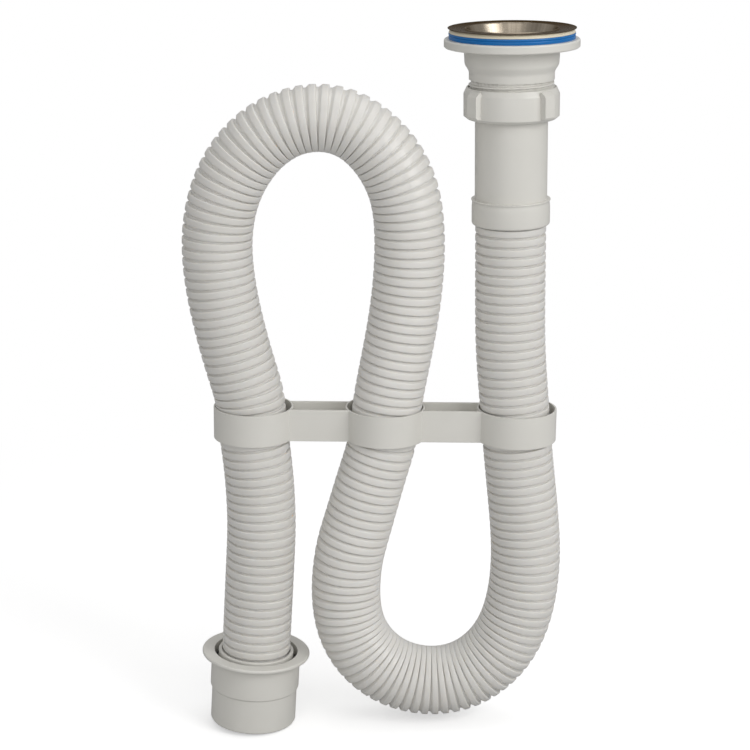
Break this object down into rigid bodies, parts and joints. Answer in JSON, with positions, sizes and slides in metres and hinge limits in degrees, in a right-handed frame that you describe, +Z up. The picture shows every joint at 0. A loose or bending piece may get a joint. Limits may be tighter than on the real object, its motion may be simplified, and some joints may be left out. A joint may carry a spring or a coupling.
{
  "type": "flexible sink waste trap",
  "caption": "Flexible sink waste trap: steel strainer and flanged waste with a union nut, a ribbed hose held in a double bend by a ring clip, and a flanged push-on outlet spigot.",
  "frame": {"origin": "centre of the flange gasket's top face, where the sink's underside sits", "axes": "+Z up along the waste, +X from the hose's bends towards the waste as the picture shows them left to right, +Y away from the viewer"},
  "size_m": [0.2187, 0.074, 0.4071],
  "materials": {
    "pressed_steel": "pressed stainless steel, brushed on the rim and bright inside the cup",
    "screw_steel": "plain stainless steel",
    "pale_gasket": "thin translucent pale gasket",
    "blue_rubber": "satin blue moulded rubber",
    "white_plastic": "glossy white moulded polypropylene",
    "hose_plastic": "glossy white blow-moulded polypropylene",
    "brass": "plain brass",
    "slip_plastic": "smooth natural nylon",
    "black_rubber": "matt black rubber"
  },
  "bodies": {
    "waste": {"waste_body": "white_plastic", "insert_nut": "brass", "flange_gasket": "blue_rubber"},
    "strainer": {"strainer_cup": "pressed_steel", "rim_gasket": "pale_gasket"},
    "screw": {"strainer_screw": "screw_steel"},
    "slip_ring": {"slip_ring": "slip_plastic"},
    "nut": {"union_nut": "white_plastic"},
    "trap": {"tailpiece": "white_plastic", "union_gasket": "black_rubber", "upper_cuff": "white_plastic", "hose": "hose_plastic", "lower_cuff": "white_plastic"},
    "clip": {"holder_clip": "white_plastic"},
    "seal": {"outlet_seal": "black_rubber"},
    "outlet": {"outlet_adapter": "white_plastic"}
  },
  "joints": [
    {"name": "strainer_lift", "type": "slide", "parent": "waste", "child": "strainer", "axis": [0, 0, 1], "range_m": [0, 0.012]},
    {"name": "screw_turn", "type": "hinge", "parent": "strainer", "child": "screw", "pos_m": [0, 0, 0], "axis": [0, 0, 1], "range_deg": [0, 4320]},
    {"name": "union_drop", "type": "slide", "parent": "waste", "child": "slip_ring", "axis": [0, 0, -1], "range_m": [0, 0.009]},
    {"name": "nut_turn", "type": "hinge", "parent": "slip_ring", "child": "nut", "pos_m": [0, 0, -0.04], "axis": [0, 0, -1], "range_deg": [0, 1403.3]},
    {"name": "trap_swivel", "type": "hinge", "parent": "slip_ring", "child": "trap", "pos_m": [0, 0, -0.0425], "axis": [0, 0, 1], "continuous": true},
    {"name": "clip_slide", "type": "slide", "parent": "trap", "child": "clip", "axis": [0.0209, 0, 0.9998], "range_m": [-0.003, 0.001]},
    {"name": "outlet_turn", "type": "hinge", "parent": "trap", "child": "seal", "pos_m": [-0.1482, 0, -0.3598], "axis": [-0.0698, 0, -0.9976], "continuous": true},
    {"name": "outlet_pull", "type": "slide", "parent": "seal", "child": "outlet", "axis": [-0.0698, 0, -0.9976], "range_m": [0, 0.018]}
  ],
  "couplings": [
    {"joint": "screw_turn", "follows": "strainer_lift", "rad_per_m": 6283.2},
    {"joint": "nut_turn", "follows": "union_drop", "rad_per_m": 2721.1}
  ]
}
